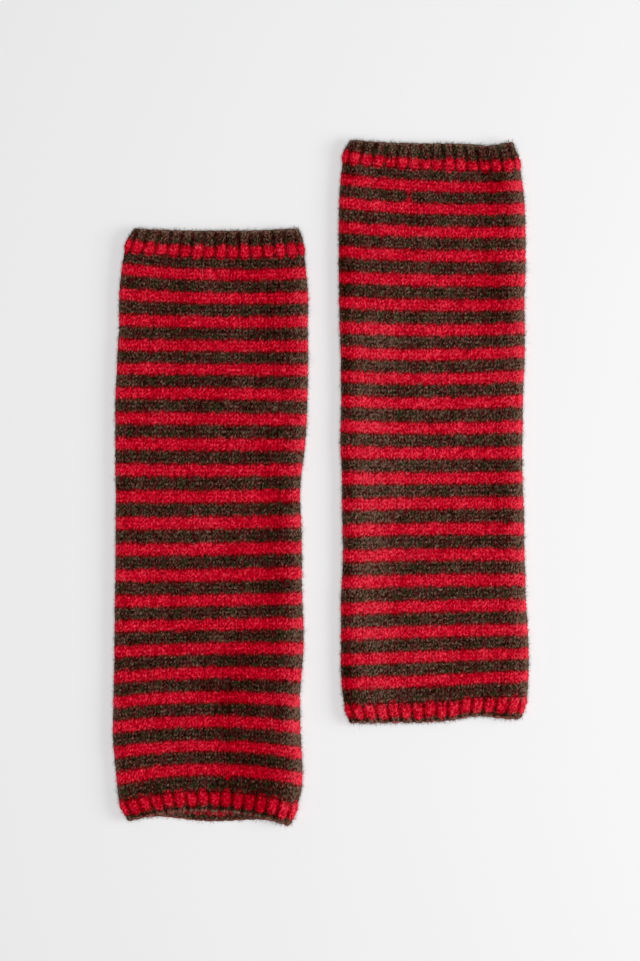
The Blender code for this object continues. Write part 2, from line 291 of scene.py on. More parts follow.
def caught_red(glove, number, across):
    """How far red yarn covers a dark stripe at each point, where a stitch was caught."""
    share = np.zeros(np.broadcast(number, across).shape)
    for stitch in glove.caught:
        along, aside = (number - stitch.line) / stitch.reach, (across - stitch.across) / stitch.half_width
        share += stitch.red * np.exp(-along ** 4 - aside ** 2)
    return share


# The box of the pair is centred above the origin
box_samples = 240
all_round = np.linspace(0.0, 1.0, box_samples)[None, :]
all_down = np.linspace(TOP_EDGE, BOTTOM_EDGE, box_samples)[:, None]
spots = np.concatenate([cloth_at(glove, all_down, all_round, 0.0).reshape(-1, 3) for glove in GLOVES])
pair_shift = -(spots.min(axis=0) + spots.max(axis=0)) / 2
pair_shift[2] = 0.0


def stripe_number(course):
    """The stripe line number at a course of stitches."""
    numbers, courses = zip(*STRIPE_LINES)
    return np.interp(course, courses, numbers)


def course_at(number):
    """The course of stitches at a stripe line."""
    numbers, courses = zip(*STRIPE_LINES)
    return float(np.interp(number, numbers, courses))


def grid_faces(first, rows, columns, inward=False):
    """Quads of a grid that closes round the tube, with its vertices stored row by row."""
    row = np.arange(rows - 1)[:, None] * columns
    column = np.arange(columns)[None, :]
    beside = (column + 1) % columns
    corners = [row + column, row + columns + column, row + columns + beside, row + beside]
    if inward:
        corners.reverse()
    return first + np.stack(corners, axis=-1).reshape(-1, 4)


def facing_of(grid, side):
    """The way that each point of a ring-by-ring grid of the cloth faces. side is 1 or -1."""
    round_tube = np.roll(grid, -1, axis=1) - np.roll(grid, 1, axis=1)
    facing = side * np.cross(round_tube, np.gradient(grid, axis=0))
    return facing / np.linalg.norm(facing, axis=-1, keepdims=True)


def wale_places(columns_a_wale, under_columns_a_wale):
    """Places round the tube, in wales. The under layer, which isn't seen, has fewer columns."""
    upper_wales = WALES_ROUND // 2
    return np.concatenate([
        np.arange(upper_wales * columns_a_wale) / columns_a_wale,
        upper_wales + np.arange(upper_wales * under_columns_a_wale) / under_columns_a_wale,
    ])


def plain_leg(wale):
    """0 at a stitch's middle and 1 where it meets the next wale."""
    return np.abs(wale % 1.0 - 0.5) * 2


def rib_places(wale):
    """How far each place lies from the middle of a raised rib: 0 there, 0.5 in the groove."""
    place = np.abs((wale / 2) % 1.0 - 0.25)
    return np.minimum(place, 1.0 - place)


def uneven_ribs(glove, edge, wale):
    """A random value from -1 to 1 for each rib of a cuff, whose open edge lies at this course."""
    values = np.random.default_rng(len(glove.name) + edge).uniform(-1.0, 1.0, WALES_ROUND // 2)
    return values[(wale // 2).astype(int) % len(values)]


def rib_ends(glove, edge, seam, course, wale):
    """How far the red end of each cuff rib bulges past its seam over the tube, in courses. At the
    bottom cuff all of them start rib_drop lower."""
    near = 1.0 - smooth_step(0.0, RIB_BULGE_FADES, np.abs(course - seam))
    bulge = RIB_BULGE * (1.0 + RIB_BULGE_UNEVEN * uneven_ribs(glove, edge, wale))
    bulge = bulge * (1.0 - smooth_step(0.20, 0.48, rib_places(wale))) - glove.rib_drop * (edge > seam)
    return near[:, None] * bulge[None, :] * (1.0 if edge > seam else -1.0)


def make_mesh(name, points, faces, attributes):
    """A smooth mesh whose vertices carry named values, one number or direction a vertex."""
    mesh = bpy.data.meshes.new(name)
    mesh.from_pydata(points.tolist(), [], faces)
    for label, values in attributes.items():
        values = np.asarray(values, dtype=np.float32)
        kind, field = ("FLOAT", "value") if values.ndim == 1 else ("FLOAT_VECTOR", "vector")
        mesh.attributes.new(label, kind, "POINT").data.foreach_set(field, values.ravel())
    mesh.shade_smooth()
    mesh.update()
    piece = bpy.data.objects.new(name, mesh)
    bpy.context.scene.collection.objects.link(piece)
    return piece


def add_node(tree, kind, inputs=None, **settings):
    """A node of one kind, with its settings, and each input set or linked."""
    node = tree.nodes.new(kind)
    for name, value in settings.items():
        setattr(node, name, value)
    for key, value in (inputs or {}).items():
        if isinstance(value, bpy.types.NodeSocket):
            tree.links.new(value, node.inputs[key])
        else:
            node.inputs[key].default_value = value
    return node


def calc(tree, operation, *values):
    """The result of a Math node on numbers or sockets."""
    kind = "ShaderNodeMath"
    return add_node(tree, kind, dict(enumerate(values)), operation=operation).outputs[0]


def ease(tree, value, start, end, low=0.0, high=1.0):
    """A smooth change from low to high as a value goes from start to end."""
    inputs = {0: value, 1: start, 2: end, 3: low, 4: high}
    return add_node(tree, "ShaderNodeMapRange", inputs, interpolation_type="SMOOTHSTEP").outputs[0]


def lumps(tree, vector, size, detail):
    """Noise about 0.5, with lumps of a real size."""
    inputs = {"Vector": vector, "Scale": 1.0 / size, "Detail": detail, "Roughness": 0.55}
    return add_node(tree, "ShaderNodeTexNoise", inputs).outputs[0]


def geometry_tree(name, sizes):
    """An empty Geometry Nodes tree with a geometry going in and out, and named number inputs."""
    tree = bpy.data.node_groups.new(name, "GeometryNodeTree")
    tree.interface.new_socket("Geometry", in_out="INPUT", socket_type="NodeSocketGeometry")
    tree.interface.new_socket("Geometry", in_out="OUTPUT", socket_type="NodeSocketGeometry")
    for label, value in sizes.items():
        kind = "NodeSocketInt" if isinstance(value, int) else "NodeSocketFloat"
        tree.interface.new_socket(label, in_out="INPUT", socket_type=kind).default_value = value
    tree.interface.new_socket("Material", in_out="INPUT", socket_type="NodeSocketMaterial")
    return tree, tree.nodes.new("NodeGroupInput"), tree.nodes.new("NodeGroupOutput")


def attribute_of(tree, label, kind="FLOAT"):
    """A vertex value that the mesh carries, in a Geometry Nodes tree."""
    return add_node(tree, "GeometryNodeInputNamedAttribute", {"Name": label}, data_type=kind).outputs[0]


# Raises stitches, ribs and felted lumps on the outer face of the cloth
relief_sizes = {
    "Stitch Height": 0.00034,
    "Rib Height": 0.0010,
    "Lump Height": 0.0012,
    "Lump Size": 0.0012,
    "Unevenness": 0.0012,
    "Unevenness Size": 0.018,
}
MIDDLE_GROOVE_ENDS, SIDE_GROOVE_STARTS = 0.34, 0.62    # on the way from a stitch's middle to its side
LUMP_STRETCH = (1.0, 0.65, 1.0)    # the lumps are longer up the glove than across it
relief, relief_in, relief_out = geometry_tree("knit_relief", relief_sizes)
leg = attribute_of(relief, "leg")
course_part = calc(relief, "FRACT", attribute_of(relief, "course"))
across_course = calc(relief, "MULTIPLY_ADD", course_part, 2.0, -1.0)
squared = calc(relief, "MULTIPLY", across_course, across_course)
plump = calc(relief, "SQRT", calc(relief, "SUBTRACT", 1.0, squared))
middle_groove = ease(relief, leg, 0.0, MIDDLE_GROOVE_ENDS, low=0.5, high=1.0)
side_groove = ease(relief, leg, SIDE_GROOVE_STARTS, 1.0, low=1.0, high=0.15)
stitch = calc(relief, "MULTIPLY", plump, calc(relief, "MULTIPLY", middle_groove, side_groove))
below_top = calc(relief, "SUBTRACT", stitch, 1.0)
stitch_drop = calc(relief, "MULTIPLY", below_top, relief_in.outputs["Stitch Height"])
rib_lift = calc(relief, "MULTIPLY", attribute_of(relief, "rib"), relief_in.outputs["Rib Height"])
position = relief.nodes.new("GeometryNodeInputPosition").outputs[0]


def noise_lift(size, height, detail):
    """Lumps of a size and height given by two of the tree's inputs."""
    scale = calc(relief, "DIVIDE", 1.0, size)
    drawn = add_node(relief, "ShaderNodeVectorMath", {0: position, 1: LUMP_STRETCH}, operation="MULTIPLY")
    inputs = {"Vector": drawn.outputs[0], "Scale": scale, "Detail": detail, "Roughness": 0.5}
    noise = add_node(relief, "ShaderNodeTexNoise", inputs).outputs[0]
    return calc(relief, "MULTIPLY", calc(relief, "SUBTRACT", noise, 0.5), height)


lump = noise_lift(relief_in.outputs["Lump Size"], relief_in.outputs["Lump Height"], 1.0)
uneven = noise_lift(relief_in.outputs["Unevenness Size"], relief_in.outputs["Unevenness"], 0.0)
fine_lift = calc(relief, "ADD", stitch_drop, lump)
whole_lift = calc(relief, "ADD", calc(relief, "ADD", fine_lift, uneven), rib_lift)
outer_face = attribute_of(relief, "outer")
facing = attribute_of(relief, "facing", "FLOAT_VECTOR")
offset = add_node(relief, "ShaderNodeVectorMath", {0: facing}, operation="SCALE")
relief.links.new(calc(relief, "MULTIPLY", whole_lift, outer_face), offset.inputs["Scale"])
keep_lift = add_node(
    relief, "GeometryNodeStoreNamedAttribute",
    {"Geometry": relief_in.outputs["Geometry"], "Name": "lift", "Value": fine_lift},
    data_type="FLOAT", domain="POINT",
)
raised = add_node(relief, "GeometryNodeSetPosition", {
    "Geometry": keep_lift.outputs[0], "Offset": offset.outputs[0],
})
finish = add_node(
    relief, "GeometryNodeSetMaterial",
    {"Geometry": raised.outputs[0], "Material": relief_in.outputs["Material"]},
)
relief.links.new(finish.outputs[0], relief_out.inputs["Geometry"])


def run_tree(piece, tree, values):
    """Runs a tree on a piece with these named inputs, and leaves the piece a plain mesh."""
    modifier = piece.modifiers.new(tree.name, "NODES")
    modifier.node_group = tree
    for item in tree.interface.items_tree:
        if item.item_type == "SOCKET" and item.in_out == "INPUT" and item.name in values:
            modifier[item.identifier] = values[item.name]
    bpy.context.view_layer.update()
    evaluated = piece.evaluated_get(bpy.context.evaluated_depsgraph_get())
    mesh = bpy.data.meshes.new_from_object(evaluated)
    piece.modifiers.remove(modifier)
    old = piece.data
    piece.data = mesh
    bpy.data.meshes.remove(old)
    mesh.name = piece.name


def rest_on_table(piece):
    """No point of a piece lies under the surface that the gloves rest on."""
    count = len(piece.data.vertices)
    points = np.empty(count * 3, dtype=np.float32)
    piece.data.vertices.foreach_get("co", points)
    points[2::3] = np.maximum(points[2::3], 0.0)
    piece.data.vertices.foreach_set("co", points)
    piece.data.update()


def yarn_colour(red, green, blue):
    """An sRGB colour, 0 to 255, as a linear one for a shader."""
    linear = []
    for channel in (red, green, blue):
        part = channel / 255
        linear.append(part / 12.92 if part <= 0.04045 else ((part + 0.055) / 1.055) ** 2.4)
    return (*linear, 1.0)


def colour_ramp(tree, value, stops):
    """A colour for a value, from stops of a place and an sRGB colour."""
    node = add_node(tree, "ShaderNodeValToRGB", {0: value})
    for stop in node.color_ramp.elements[1:]:
        node.color_ramp.elements.remove(stop)
    first = node.color_ramp.elements[0]
    first.position, first.color = stops[0][0], yarn_colour(*stops[0][1:])
    for place, *colour in stops[1:]:
        node.color_ramp.elements.new(place).color = yarn_colour(*colour)
    return node.outputs[0]


def mix_colour(tree, factor, first, second):
    """A mix of two colours."""
    inputs = {0: factor, 6: first, 7: second}
    return add_node(tree, "ShaderNodeMix", inputs, data_type="RGBA").outputs[2]


# Brushed wool in two yarns: mottled red and mottled dark brown, whose stripes run into each other a
# little where the nap was brushed across their border
FIBRE_LEAN = -0.22            # how far the brushed fibres lean across for each step up the glove
FIBRE_STRETCH = 0.56          # one over how much longer the mottle is up the glove than across it
RED_ENDS, BROWN_STARTS = -0.78, 0.50    # on the sine wave that runs over two stripes
BORDER_MIDDLE = -0.14
BORDER_WANDER = 0.20          # how far the borders wander slowly, in stripes
BORDER_REACH, BORDER_DARKER = 0.75, -0.13    # how far from a border, on that wave, the wool is darker
MOTTLE_MIDDLE = 0.53          # where the plain tone of each yarn lies on its ramp
LIVELIER = 0.8                # how much more mottled the nap is where it is painted lighter

wool = bpy.data.node_groups.new("brushed_wool", "ShaderNodeTree")
for label in ("Stripe", "Shade", "Border Blur", "Brown Groove"):
    wool.interface.new_socket(label, in_out="INPUT", socket_type="NodeSocketFloat")
wool.interface.new_socket("Color", in_out="OUTPUT", socket_type="NodeSocketColor")
wool.interface.new_socket("Height", in_out="OUTPUT", socket_type="NodeSocketFloat")
wool_in, wool_out = wool.nodes.new("NodeGroupInput"), wool.nodes.new("NodeGroupOutput")
spot = add_node(wool, "ShaderNodeSeparateXYZ", {0: wool.nodes.new("ShaderNodeTexCoord").outputs["Object"]})
leaning = calc(wool, "MULTIPLY_ADD", spot.outputs["Y"], FIBRE_LEAN, spot.outputs["X"])
drawn_out = calc(wool, "MULTIPLY", spot.outputs["Y"], FIBRE_STRETCH)
wool_place = add_node(wool, "ShaderNodeCombineXYZ", {0: leaning, 1: drawn_out, 2: spot.outputs["Z"]}).outputs[0]
tuft = lumps(wool, wool_place, size=0.00088, detail=2.0)
fibre = lumps(wool, wool_place, size=0.00046, detail=1.0)
patch = lumps(wool, wool_place, size=0.014, detail=1.0)
border = lumps(wool, wool_place, size=0.0009, detail=2.0)
wander = lumps(wool, wool_place, size=0.005, detail=0.0)
tint = lumps(wool, wool_place, size=0.0021, detail=1.0)
strayed = calc(wool, "MULTIPLY", calc(wool, "SUBTRACT", border, 0.5), wool_in.outputs["Border Blur"])
wandered = calc(wool, "MULTIPLY", calc(wool, "SUBTRACT", wander, 0.5), BORDER_WANDER)
stripe_place = calc(wool, "ADD", wool_in.outputs["Stripe"], calc(wool, "ADD", strayed, wandered))
stripe_wave = calc(wool, "SINE", calc(wool, "MULTIPLY", stripe_place, math.pi))
brown_wave = calc(wool, "ADD", stripe_wave, wool_in.outputs["Brown Groove"])
brown_share = ease(wool, brown_wave, RED_ENDS, BROWN_STARTS)

# The mottle is mostly tufts. It is livelier where the nap is painted lighter, and the wool is darker along the
# borders of the stripes. The shade added last carries the cloth's painted light and shade.
mottle = 0.0
for noise, share in ((tuft, 2.15), (fibre, 1.0), (patch, 0.35), (wander, 0.22)):
    mottle = calc(wool, "ADD", mottle, calc(wool, "MULTIPLY", calc(wool, "SUBTRACT", noise, 0.5), share))
livelier = calc(wool, "MULTIPLY_ADD", wool_in.outputs["Shade"], LIVELIER, 1.0)
mottle = calc(wool, "MULTIPLY_ADD", mottle, livelier, MOTTLE_MIDDLE)
from_border = calc(wool, "ABSOLUTE", calc(wool, "SUBTRACT", brown_wave, BORDER_MIDDLE))
mottle = calc(wool, "ADD", mottle, ease(wool, from_border, 0.0, BORDER_REACH, BORDER_DARKER, 0.0))
mottle = calc(wool, "ADD", mottle, wool_in.outputs["Shade"])
red_yarn = colour_ramp(wool, mottle, (
    (0.00, 130, 0, 9), (0.32, 176, 0, 25), (0.60, 206, 12, 43), (1.00, 236, 64, 82),
))
brown_yarn = colour_ramp(wool, mottle, (
    (0.00, 10, 0, 0), (0.34, 34, 12, 5), (0.62, 65, 41, 31), (1.00, 120, 94, 80),
))

# Stray fibres of other shades in the two yarns, by where the tint and the wandering lie
olive = mix_colour(wool, ease(wool, tint, 0.52, 0.66, high=0.5), brown_yarn, yarn_colour(40, 50, 26))
rusty = mix_colour(wool, ease(wool, tint, 0.34, 0.48, 0.5, 0.0), olive, yarn_colour(80, 20, 24))
plum = mix_colour(wool, ease(wool, wander, 0.58, 0.72, high=0.25), rusty, yarn_colour(72, 22, 26))
deep = mix_colour(wool, ease(wool, tint, 0.37, 0.52, 0.30, 0.0), red_yarn, yarn_colour(134, 0, 14))
wool_colour = mix_colour(wool, brown_share, deep, plum)
wool.links.new(wool_colour, wool_out.inputs["Color"])
nap = calc(wool, "ADD", tuft, calc(wool, "MULTIPLY", fibre, 0.6))
wool.links.new(nap, wool_out.inputs["Height"])


def new_material(name, roughness, specular=0.0):
    """A new material, its node tree and its main shader."""
    material = bpy.data.materials.new(name)
    material.use_nodes = True
    shader = material.node_tree.nodes["Principled BSDF"]
    shader.inputs["Roughness"].default_value = roughness
    shader.inputs["Specular IOR Level"].default_value = specular
    return material, material.node_tree, shader


def carried(tree, label):
    """A vertex value that the mesh carries, in a material."""
    return add_node(tree, "ShaderNodeAttribute", attribute_name=label).outputs["Fac"]


def striped_yarn(tree, shader, shade, border_blur):
    """Gives a shader the wool's colour at the stripe and groove that its mesh carries."""
    yarn = add_node(tree, "ShaderNodeGroup", {
        "Stripe": carried(tree, "stripe"),
        "Shade": shade,
        "Border Blur": border_blur,
        "Brown Groove": carried(tree, "groove"),
    }, node_tree=wool)
    tree.links.new(yarn.outputs["Color"], shader.inputs["Base Color"])
    return yarn


HOLLOW_LIFT, RAISED_LIFT = -0.0006, 0.00015    # heights of the cloth, from its hollows to its tops
HOLLOW_PAINTED_SHADE, RAISED_PAINTED_LIGHT = -0.26, 0.12       # how much lighter the wool is painted there: painted shade in the hollows, painted light on the tops


def wool_material(name, stitch_relief):
    """Brushed wool for a knitted face, which reads the stripe, stitch and height that it carries, with painted
    shade in its hollows and painted light on its tops.
    """
    material, tree, shader = new_material(name, roughness=0.92)
    # Painted shade in the hollows and painted light on the tops of the stitches and lumps
    lift = ease(tree, carried(tree, "lift"), HOLLOW_LIFT, RAISED_LIFT, HOLLOW_PAINTED_SHADE, RAISED_PAINTED_LIGHT)
    shade = calc(tree, "ADD", lift, carried(tree, "shade"))
    yarn = striped_yarn(tree, shader, shade, border_blur=0.75)
    part = calc(tree, "MULTIPLY_ADD", calc(tree, "FRACT", carried(tree, "course")), 2.0, -1.0)
    bead = calc(tree, "SUBTRACT", 1.0, calc(tree, "MULTIPLY", part, part))
    sides = ease(tree, carried(tree, "leg"), 0.55, 1.0, low=1.0, high=0.3)
    beads = calc(tree, "MULTIPLY", calc(tree, "MULTIPLY", bead, sides), stitch_relief)
    height = calc(tree, "ADD", yarn.outputs["Height"], beads)
    bump = add_node(tree, "ShaderNodeBump", {"Height": height, "Strength": 0.9, "Distance": 0.0006})
    tree.links.new(bump.outputs[0], shader.inputs["Normal"])
    return material


striped_wool = wool_material("striped_wool", 0.5)


def knitted_tube(glove):
    """The striped tube: stitches on its outer face, a plain inner face, closed at both ends."""
    columns_a_wale, under_columns_a_wale, rows_a_course = 6, 1, 3
    wale = wale_places(columns_a_wale, under_columns_a_wale)
    start, end = course_at(BODY_START), course_at(BODY_END)
    course = np.linspace(start, end, round((end - start) * rows_a_course) + 1)
    leg_place = plain_leg(wale)
    worked = course[:, None] - STITCH_RISE * (leg_place[None, :] - 0.5)
    worked[0] = start
    worked[-1] = end
    outer = cloth_at(glove, stripe_number(worked), wale[None, :] / WALES_ROUND, 0.0)
    inner_course = np.linspace(start, end, BODY_END - BODY_START + 1)
    inner_place = np.arange(WALES_ROUND)[None, :] / WALES_ROUND
    inner = cloth_at(glove, stripe_number(inner_course)[:, None], inner_place, WALL)
    for layer in (outer, inner):
        layer[0, :, 1] -= SEAM_GAP / 2
        layer[-1, :, 1] += SEAM_GAP / 2

    rows, columns = outer.shape[:2]
    first_inner = rows * columns
    faces = grid_faces(0, rows, columns).tolist()
    faces += grid_faces(first_inner, len(inner_course), WALES_ROUND, inward=True).tolist()

    # At both ends, each wale's outer points fan in to the two inner points beside it
    wale_starts = [index for index in range(columns) if wale[index] % 1.0 == 0.0] + [columns]
    last_outer = (rows - 1) * columns
    last_inner = first_inner + (len(inner_course) - 1) * WALES_ROUND
    for outer_ring, inner_ring, turned in ((0, first_inner, False), (last_outer, last_inner, True)):
        for index in range(WALES_ROUND):
            near, far = inner_ring + index, inner_ring + (index + 1) % WALES_ROUND
            own_columns = range(wale_starts[index], wale_starts[index + 1] + 1)
            stretch = [outer_ring + column % columns for column in own_columns]
            half = len(stretch) // 2
            fan = [(near, a, b) for a, b in zip(stretch[:half], stretch[1:half + 1])]
            fan += [(near, stretch[half], far)]
            fan += [(far, a, b) for a, b in zip(stretch[half:-1], stretch[half + 1:])]
            faces += [corner[::-1] if turned else corner for corner in fan]

    number = stripe_number(course)[:, None]
    across = place_across(glove, number, wale[None, :] / WALES_ROUND)
    coloured = course[:, None] + STITCH_RISE * (1.0 - BORDER_RISE) * (0.5 - leg_place[None, :])
    for edge, seam in ((TOP_EDGE, start), (BOTTOM_EDGE, end)):
        coloured = coloured + rib_ends(glove, round(course_at(edge)), seam, course, wale)
    points = np.concatenate([outer.reshape(-1, 3), inner.reshape(-1, 3)]) + pair_shift
    outer_shape, inner_shape = (rows, columns), (len(inner_course), WALES_ROUND)

    def spread(outer_values, inner_values):
        parts = (np.broadcast_to(outer_values, outer_shape), np.broadcast_to(inner_values, inner_shape))
        return np.concatenate([part.ravel() for part in parts])

    return make_mesh(glove.name + "_knit_tube", points, faces, {
        "course": spread(course[:, None], inner_course[:, None]),
        "stripe": spread(stripe_number(coloured), stripe_number(inner_course)[:, None]),
        "leg": spread(leg_place[None, :], 0.5),
        "rib": spread(0.0, 0.0),
        # painted light and shade on the folds, crowns and hollows, and lighter or darker stripes near the cuffs
        "shade": spread(painted_light_and_tone_at(glove, number, across), 0.0),
        "groove": spread(-caught_red(glove, number, across), 0.0),
        "outer": spread(1.0, 0.0),
        "facing": np.concatenate([facing_of(outer, -1).reshape(-1, 3), facing_of(inner, 1).reshape(-1, 3)]),
    })


tubes = {}
for glove in GLOVES:
    tube = knitted_tube(glove)
    run_tree(tube, relief, {**relief_sizes, "Material": striped_wool})
    rest_on_table(tube)
    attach(tube, "root")
    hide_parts(glove.name + "_tube")
    tubes[glove.name] = tube

# The ribbed cuffs
# Both ends of each glove are worked in knit one, purl one rib, thicker and springier than the tube.
# The top one has a dark brown hem over a red band, the bottom one is red with a thin dark edge.

COURSE_HEIGHT = 0.0024    # one course of the cuffs
RIM_ROWS = 5              # rows of points over the rounded rim
INNER_ROWS = 7            # and down the inner face
KNIT_HALF_WIDTH = 0.36    # half the width of the raised stitch, as a share of one rib's pitch
RIB_TOP, RIB_FOOT, GAP_FLOOR = 0.18, 0.44, 0.47    # from a rib's middle to the middle of the gap, 0.5
RIBS_START = (0.5, 4.0)   # courses from the open edge over which the ribs rise to their full height
RIBS_END = 1.2            # courses from the seam over which they sink into the plain knit
GAPS_START = (0.6, 2.4)   # courses from the open edge over which the gaps turn browner
RIB_WANDER = 0.12         # how unevenly the ribs' colours end, in stripes
CAST_OFF_EARLY = 0.05     # how much sooner the cast-off edge's dark yarn begins on the ribs, in stripes
HEM_COLOUR, CAST_OFF_COLOUR = 0.35, 46.62    # the stripe numbers whose colour the very edges have
INNER_EDGE_SHIFT = 0.16   # the cast-off edge's dark yarn is narrower inside, in stripes
INNER_PAINTED_LIGHT = 0.06        # how much lighter the inside is painted, as painted light where the smooth purl side catches the light
INNER_BROWN = 0.44        # how much browner it is behind a rib
INNER_GAP_BROWN = 0.40    # and how much more between the ribs

# Each cuff's open edge and seam, as stripe lines, then how far its rim's tone reaches, in courses, how much
# lighter the rim is painted, a painted highlight where its fibres catch the light, and how much redder it is,
# then where between two ribs the gap's tone starts, how much browner it is and how much lighter it is painted
# there, a painted shade when below 0, and last the share of the ribs' height that is left at the open edge
CuffEnd = namedtuple("CuffEnd", "name node slot edge seam rim_reach rim_shade rim_red "
                                "gap_start gap_brown gap_shade edge_rib")
CUFF_ENDS = [
    CuffEnd("_ribbed_top_cuff", "_top_cuff", "dark_rib", TOP_EDGE, BODY_START,
            rim_reach=0.8, rim_shade=0.36, rim_red=0.0,
            gap_start=0.27, gap_brown=0.60, gap_shade=-0.17, edge_rib=0.15),
    CuffEnd("_ribbed_bottom_cuff", "_bottom_cuff", "red_rib", BOTTOM_EDGE, BODY_END,
            rim_reach=0.25, rim_shade=0.46, rim_red=0.60,
            gap_start=0.29, gap_brown=0.62, gap_shade=-0.27, edge_rib=0.6),
]


def ribbed_cuff(glove, end_of_glove):
    """A cuff: ribs and stitches outside, rounded over its open edge, and a plain inner face."""
    columns_a_wale, under_columns_a_wale, rows_a_course = 8, 2, 4
    wale = wale_places(columns_a_wale, under_columns_a_wale)
    place = wale[None, :] / WALES_ROUND
    from_rib = rib_places(wale)
    leg_place = np.minimum(1.0, from_rib / KNIT_HALF_WIDTH)
    start, end = course_at(end_of_glove.edge), course_at(end_of_glove.seam)
    at_bottom = end_of_glove.edge > end_of_glove.seam
    inwards = -1.0 if at_bottom else 1.0
    course = np.linspace(start, end, round(abs(end - start) * rows_a_course) + 1)
    rim_turn = np.linspace(0.0, math.pi, RIM_ROWS + 2)[1:-1]
    inner_course = np.linspace(start, end, INNER_ROWS)
    edge_courses = WALL / 2 / COURSE_HEIGHT

    worked = course[:, None] - STITCH_RISE * (leg_place[None, :] - 0.5)
    blend = smooth_step(0.0, 1.0, np.abs(course - start))[:, None]
    worked = blend * worked + (1.0 - blend) * course[:, None]
    worked[-1] = end
    outer = cloth_at(glove, stripe_number(worked + edge_courses * inwards * (1.0 - blend)), place, 0.0)
    outer[-1, :, 1] += inwards * SEAM_GAP / 2
    rim_rings = []
    for angle in rim_turn:
        depth = WALL / 2 * (1.0 - math.cos(angle))
        at_course = start + inwards * edge_courses * (1.0 - math.sin(angle))
        rim_rings.append(cloth_at(glove, stripe_number(np.full((1, 1), at_course)), place, depth))
    inner_blend = smooth_step(0.0, 1.0, np.abs(inner_course - start))[:, None]
    inner_worked = inner_course[:, None] + inwards * edge_courses * (1.0 - inner_blend)
    inner = cloth_at(glove, stripe_number(inner_worked), place, WALL)
    inner[-1, :, 1] += inwards * SEAM_GAP / 2
    points = np.concatenate([outer[::-1], *rim_rings, inner])
    count, columns = points.shape[:2]
    faces = grid_faces(0, count, columns, inward=not at_bottom).tolist()
    last = (count - 1) * columns
    for column in range(columns):
        beside = (column + 1) % columns
        quad = (column, beside, last + beside, last + column)
        faces.append(quad if at_bottom else quad[::-1])

    def by_row(outside, over_rim, inside):
        """Values from the seam down the outer face, over the rim and back up the inner face."""
        parts = ((outside, course), (over_rim, rim_turn), (inside, inner_course))
        return np.concatenate([np.broadcast_to(values, rows.shape) for values, rows in parts])

    seam_fade = smooth_step(0.0, RIBS_END, np.abs(course - end))
    edge_rib = end_of_glove.edge_rib
    edge_fade = edge_rib + (1.0 - edge_rib) * smooth_step(*RIBS_START, np.abs(course - start))
    courses = by_row(course[::-1], start, inner_course)
    rib_fade = by_row((seam_fade * edge_fade)[::-1], edge_rib, 0.0)
    outer_fade = by_row(1.0, 0.5 + 0.5 * np.cos(rim_turn), 0.0)
    # How far each row lies in the rim, where the painted highlight and the redder yarn go
    rim = by_row(np.exp(-np.abs(course[::-1] - start) / end_of_glove.rim_reach), 1.0, 0.0)
    inside = by_row(0.0, 0.0, 1.0)
    gap_fade = by_row((0.25 + 0.75 * seam_fade)[::-1], 0.8, 0.0)
    stitch_courses = start + inwards * np.maximum(0.5, np.abs(courses - start))

    uneven = uneven_ribs(glove, round(start), wale)
    rib_profile = 1.0 - smooth_step(RIB_TOP, RIB_FOOT, from_rib)
    coloured = courses[:, None] + rib_ends(glove, round(start), end, courses, wale)
    stripes = np.clip(stripe_number(coloured), HEM_COLOUR, CAST_OFF_COLOUR)
    stripes[-INNER_ROWS:] -= INNER_EDGE_SHIFT * at_bottom
    wander = RIB_WANDER * uneven * rib_profile + CAST_OFF_EARLY * at_bottom
    wander = wander[None, :] * ((1.0 - inside) * smooth_step(0.5, 2.5, np.abs(courses - end)))[:, None]
    # How far each point lies in the gap between two ribs, where the browner yarn and the painted shade go
    between = gap_fade[:, None] * smooth_step(end_of_glove.gap_start, GAP_FLOOR, from_rib)[None, :]
    parted = smooth_step(*GAPS_START, np.abs(courses - start))[:, None]
    purl_side = smooth_step(0.10, 0.30, from_rib) + 0.5 * uneven
    number = stripe_number(courses)[:, None]
    # Painted shade in the gaps, a painted highlight on the rim, painted light on the inside, and the patches of
    # painted light and shade outside
    shade = end_of_glove.gap_shade * between + (end_of_glove.rim_shade * rim + INNER_PAINTED_LIGHT * inside)[:, None]
    shade = shade + painted_light_and_tone_at(glove, number, place_across(glove, number, place)) * (1.0 - inside)[:, None]
    groove = end_of_glove.gap_brown * between * parted
    groove = groove + inside[:, None] * (INNER_BROWN + INNER_GAP_BROWN * purl_side[None, :])
    groove = groove - end_of_glove.rim_red * rim[:, None]
    shape = (count, columns)
    return make_mesh(glove.name + end_of_glove.name, points.reshape(-1, 3) + pair_shift, faces, {
        "course": np.broadcast_to(stitch_courses[:, None], shape).ravel(),
        "stripe": (stripes + wander).ravel(),
        "leg": np.broadcast_to(leg_place[None, :], shape).ravel(),
        "rib": (rib_fade[:, None] * rib_profile[None, :]).ravel(),
        "shade": shade.ravel(),
        "groove": groove.ravel(),
        "outer": np.broadcast_to(outer_fade[:, None], shape).ravel(),
        "facing": facing_of(points, inwards).reshape(-1, 3),
    })


ribbed_wool = wool_material("ribbed_wool", 0.3)
cuffs = {}
for glove in GLOVES:
    for end_of_glove in CUFF_ENDS:
        cuff = ribbed_cuff(glove, end_of_glove)
        run_tree(cuff, relief, {**relief_sizes, "Material": ribbed_wool})
        rest_on_table(cuff)
        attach(cuff, "root")
        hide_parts(glove.name + end_of_glove.node)
        cuffs[glove.name + end_of_glove.name] = cuff

# The brushed nap
# The knit was brushed after it was made, which pulled a short dense nap out of the yarn all over its
# outer face, with longer curled fibres standing out of it. Each fibre has its own yarn's colour.

BRUSHED_TOWARDS = 1.36    # the fibres' main direction, a little right of straight up the glove
LOWEST_SEEN = -0.35       # the nap ends where the cloth faces further down than this
SIDE_ENDS, TOP_STARTS = 0.25, 0.75    # how far up the cloth faces where the folds' extra fibres thin out

